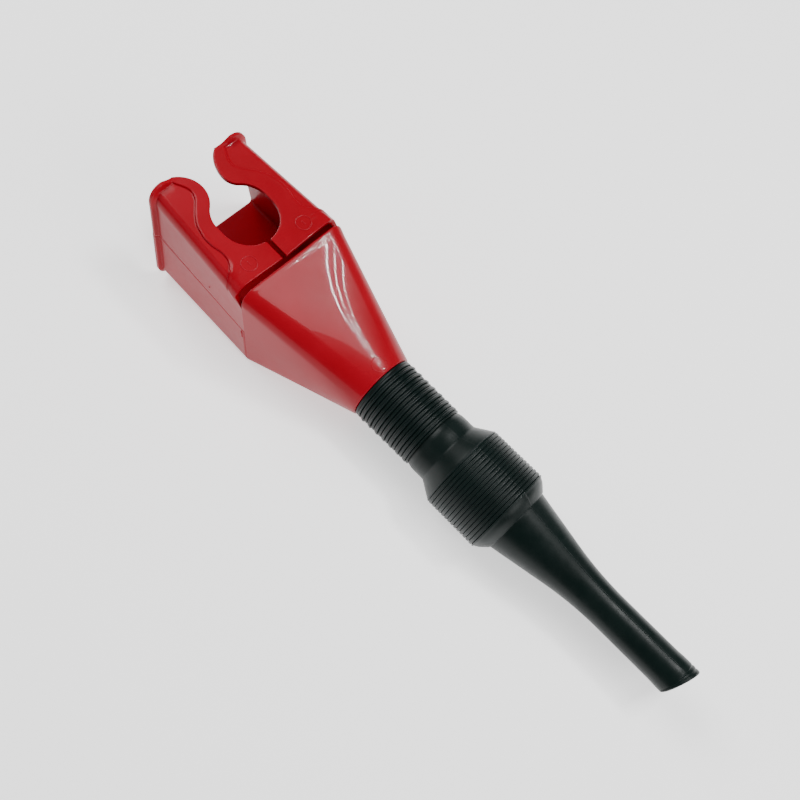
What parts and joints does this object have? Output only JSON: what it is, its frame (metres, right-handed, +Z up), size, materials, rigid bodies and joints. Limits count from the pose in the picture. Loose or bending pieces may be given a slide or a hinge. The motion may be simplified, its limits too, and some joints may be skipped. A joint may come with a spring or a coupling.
{
  "type": "oil funnel",
  "caption": "Clip-on oil funnel: open hopper with two sprung arms that hold a bottle neck, tapered throat, and a black bellows hose with a tapering, slant-cut spout.",
  "frame": {"origin": "bottom centre of the part's bounding box, as it lies on a flat surface", "axes": "+X along the hose axis towards the spout tip, +Z up towards the clip arms, +Y to the left looking from the mouth to the spout"},
  "size_m": [0.3557, 0.0726, 0.0706],
  "materials": {
    "red_plastic": "glossy injection-moulded polypropylene, slightly rippled",
    "black_plastic": "satin blow-moulded polyethylene"
  },
  "bodies": {
    "head": {"hopper_tray": "red_plastic", "throat_cone": "red_plastic"},
    "arm_left": {"clip_arm_left": "red_plastic"},
    "arm_right": {"clip_arm_right": "red_plastic"},
    "cuff": {"hose_cuff": "black_plastic"},
    "fold_wide_1": {"fold_wide_1": "black_plastic"},
    "fold_narrow_1": {"fold_narrow_1": "black_plastic"},
    "fold_wide_2": {"fold_wide_2": "black_plastic"},
    "fold_narrow_2": {"fold_narrow_2": "black_plastic"},
    "fold_wide_3": {"fold_wide_3": "black_plastic"},
    "fold_narrow_3": {"fold_narrow_3": "black_plastic"},
    "fold_wide_4": {"fold_wide_4": "black_plastic"},
    "fold_narrow_4": {"fold_narrow_4": "black_plastic"},
    "fold_wide_5": {"fold_wide_5": "black_plastic"},
    "fold_narrow_5": {"fold_narrow_5": "black_plastic"},
    "fold_wide_6": {"fold_wide_6": "black_plastic"},
    "fold_narrow_6": {"fold_narrow_6": "black_plastic"},
    "fold_wide_7": {"fold_wide_7": "black_plastic"},
    "tube": {"middle_tube": "black_plastic"},
    "collar_ring_01": {"collar_ring_01": "black_plastic"},
    "collar_ring_02": {"collar_ring_02": "black_plastic"},
    "collar_ring_03": {"collar_ring_03": "black_plastic"},
    "collar_ring_04": {"collar_ring_04": "black_plastic"},
    "collar_ring_05": {"collar_ring_05": "black_plastic"},
    "collar_ring_06": {"collar_ring_06": "black_plastic"},
    "collar_ring_07": {"collar_ring_07": "black_plastic"},
    "collar_ring_08": {"collar_ring_08": "black_plastic"},
    "collar_ring_09": {"collar_ring_09": "black_plastic"},
    "collar_ring_10": {"collar_ring_10": "black_plastic"},
    "collar_ring_11": {"collar_ring_11": "black_plastic"},
    "collar_ring_12": {"collar_ring_12": "black_plastic"},
    "collar_ring_13": {"collar_ring_13": "black_plastic"},
    "collar_ring_14": {"collar_ring_14": "black_plastic"},
    "spout": {"spout": "black_plastic"}
  },
  "joints": [
    {"name": "arm_left_flex", "type": "hinge", "parent": "head", "child": "arm_left", "pos_m": [-0.1775, 0.0205, 0.06739], "axis": [-0.9962, -0.075, 0.0435], "range_deg": [-5, 5], "stiffness_Nm_per_rad": 0.8},
    {"name": "arm_right_flex", "type": "hinge", "parent": "head", "child": "arm_right", "pos_m": [-0.1775, -0.0205, 0.06739], "axis": [0.9962, -0.075, -0.0435], "range_deg": [-5, 5], "stiffness_Nm_per_rad": 0.8},
    {"name": "hose_swivel", "type": "hinge", "parent": "head", "child": "cuff", "pos_m": [-0.0319, 0, 0.0252], "axis": [1, 0, 0], "continuous": true},
    {"name": "bend_down_1", "type": "hinge", "parent": "cuff", "child": "fold_wide_1", "pos_m": [-0.0313, 0, 0.00535], "axis": [0, 1, 0], "range_deg": [0, 4]},
    {"name": "bend_up_1", "type": "hinge", "parent": "fold_wide_1", "child": "fold_narrow_1", "pos_m": [-0.02845, 0, 0.04505], "axis": [0, -1, 0], "range_deg": [0, 4]},
    {"name": "bend_down_2", "type": "hinge", "parent": "fold_narrow_1", "child": "fold_wide_2", "pos_m": [-0.02623, 0, 0.00535], "axis": [0, 1, 0], "range_deg": [0, 4]},
    {"name": "bend_up_2", "type": "hinge", "parent": "fold_wide_2", "child": "fold_narrow_2", "pos_m": [-0.02338, 0, 0.04505], "axis": [0, -1, 0], "range_deg": [0, 4]},
    {"name": "bend_down_3", "type": "hinge", "parent": "fold_narrow_2", "child": "fold_wide_3", "pos_m": [-0.02116, 0, 0.00535], "axis": [0, 1, 0], "range_deg": [0, 4]},
    {"name": "bend_up_3", "type": "hinge", "parent": "fold_wide_3", "child": "fold_narrow_3", "pos_m": [-0.01831, 0, 0.04505], "axis": [0, -1, 0], "range_deg": [0, 4]},
    {"name": "bend_down_4", "type": "hinge", "parent": "fold_narrow_3", "child": "fold_wide_4", "pos_m": [-0.01609, 0, 0.00535], "axis": [0, 1, 0], "range_deg": [0, 4]},
    {"name": "bend_up_4", "type": "hinge", "parent": "fold_wide_4", "child": "fold_narrow_4", "pos_m": [-0.01324, 0, 0.04505], "axis": [0, -1, 0], "range_deg": [0, 4]},
    {"name": "bend_down_5", "type": "hinge", "parent": "fold_narrow_4", "child": "fold_wide_5", "pos_m": [-0.01102, 0, 0.00535], "axis": [0, 1, 0], "range_deg": [0, 4]},
    {"name": "bend_up_5", "type": "hinge", "parent": "fold_wide_5", "child": "fold_narrow_5", "pos_m": [-0.00817, 0, 0.04505], "axis": [0, -1, 0], "range_deg": [0, 4]},
    {"name": "bend_down_6", "type": "hinge", "parent": "fold_narrow_5", "child": "fold_wide_6", "pos_m": [-0.00595, 0, 0.00535], "axis": [0, 1, 0], "range_deg": [0, 4]},
    {"name": "bend_up_6", "type": "hinge", "parent": "fold_wide_6", "child": "fold_narrow_6", "pos_m": [-0.0031, 0, 0.04505], "axis": [0, -1, 0], "range_deg": [0, 4]},
    {"name": "bend_down_7", "type": "hinge", "parent": "fold_narrow_6", "child": "fold_wide_7", "pos_m": [-0.00088, 0, 0.00535], "axis": [0, 1, 0], "range_deg": [0, 4]},
    {"name": "bend_up_7", "type": "hinge", "parent": "fold_wide_7", "child": "tube", "pos_m": [0.00197, 0, 0.04505], "axis": [0, -1, 0], "range_deg": [0, 4]},
    {"name": "stretch_01", "type": "slide", "parent": "tube", "child": "collar_ring_01", "axis": [1, 0, 0], "range_m": [0, 0.003]},
    {"name": "stretch_02", "type": "slide", "parent": "collar_ring_01", "child": "collar_ring_02", "axis": [1, 0, 0], "range_m": [0, 0.003]},
    {"name": "stretch_03", "type": "slide", "parent": "collar_ring_02", "child": "collar_ring_03", "axis": [1, 0, 0], "range_m": [0, 0.003]},
    {"name": "stretch_04", "type": "slide", "parent": "collar_ring_03", "child": "collar_ring_04", "axis": [1, 0, 0], "range_m": [0, 0.003]},
    {"name": "stretch_05", "type": "slide", "parent": "collar_ring_04", "child": "collar_ring_05", "axis": [1, 0, 0], "range_m": [0, 0.003]},
    {"name": "stretch_06", "type": "slide", "parent": "collar_ring_05", "child": "collar_ring_06", "axis": [1, 0, 0], "range_m": [0, 0.003]},
    {"name": "stretch_07", "type": "slide", "parent": "collar_ring_06", "child": "collar_ring_07", "axis": [1, 0, 0], "range_m": [0, 0.003]},
    {"name": "stretch_08", "type": "slide", "parent": "collar_ring_07", "child": "collar_ring_08", "axis": [1, 0, 0], "range_m": [0, 0.003]},
    {"name": "stretch_09", "type": "slide", "parent": "collar_ring_08", "child": "collar_ring_09", "axis": [1, 0, 0], "range_m": [0, 0.003]},
    {"name": "stretch_10", "type": "slide", "parent": "collar_ring_09", "child": "collar_ring_10", "axis": [1, 0, 0], "range_m": [0, 0.003]},
    {"name": "stretch_11", "type": "slide", "parent": "collar_ring_10", "child": "collar_ring_11", "axis": [1, 0, 0], "range_m": [0, 0.003]},
    {"name": "stretch_12", "type": "slide", "parent": "collar_ring_11", "child": "collar_ring_12", "axis": [1, 0, 0], "range_m": [0, 0.003]},
    {"name": "stretch_13", "type": "slide", "parent": "collar_ring_12", "child": "collar_ring_13", "axis": [1, 0, 0], "range_m": [0, 0.003]},
    {"name": "stretch_14", "type": "slide", "parent": "collar_ring_13", "child": "collar_ring_14", "axis": [1, 0, 0], "range_m": [0, 0.003]},
    {"name": "stretch_15", "type": "slide", "parent": "collar_ring_14", "child": "spout", "axis": [1, 0, 0], "range_m": [0, 0.003]}
  ],
  "couplings": [
    {"joint": "bend_down_2", "follows": "bend_down_1", "ratio": 1},
    {"joint": "bend_up_2", "follows": "bend_up_1", "ratio": 1},
    {"joint": "bend_down_3", "follows": "bend_down_1", "ratio": 1},
    {"joint": "bend_up_3", "follows": "bend_up_1", "ratio": 1},
    {"joint": "bend_down_4", "follows": "bend_down_1", "ratio": 1},
    {"joint": "bend_up_4", "follows": "bend_up_1", "ratio": 1},
    {"joint": "bend_down_5", "follows": "bend_down_1", "ratio": 1},
    {"joint": "bend_up_5", "follows": "bend_up_1", "ratio": 1},
    {"joint": "bend_down_6", "follows": "bend_down_1", "ratio": 1},
    {"joint": "bend_up_6", "follows": "bend_up_1", "ratio": 1},
    {"joint": "bend_down_7", "follows": "bend_down_1", "ratio": 1},
    {"joint": "bend_up_7", "follows": "bend_up_1", "ratio": 1},
    {"joint": "stretch_02", "follows": "stretch_01", "ratio": 1},
    {"joint": "stretch_03", "follows": "stretch_01", "ratio": 1},
    {"joint": "stretch_04", "follows": "stretch_01", "ratio": 1},
    {"joint": "stretch_05", "follows": "stretch_01", "ratio": 1},
    {"joint": "stretch_06", "follows": "stretch_01", "ratio": 1},
    {"joint": "stretch_07", "follows": "stretch_01", "ratio": 1},
    {"joint": "stretch_08", "follows": "stretch_01", "ratio": 1},
    {"joint": "stretch_09", "follows": "stretch_01", "ratio": 1},
    {"joint": "stretch_10", "follows": "stretch_01", "ratio": 1},
    {"joint": "stretch_11", "follows": "stretch_01", "ratio": 1},
    {"joint": "stretch_12", "follows": "stretch_01", "ratio": 1},
    {"joint": "stretch_13", "follows": "stretch_01", "ratio": 1},
    {"joint": "stretch_14", "follows": "stretch_01", "ratio": 1},
    {"joint": "stretch_15", "follows": "stretch_01", "ratio": 1}
  ]
}
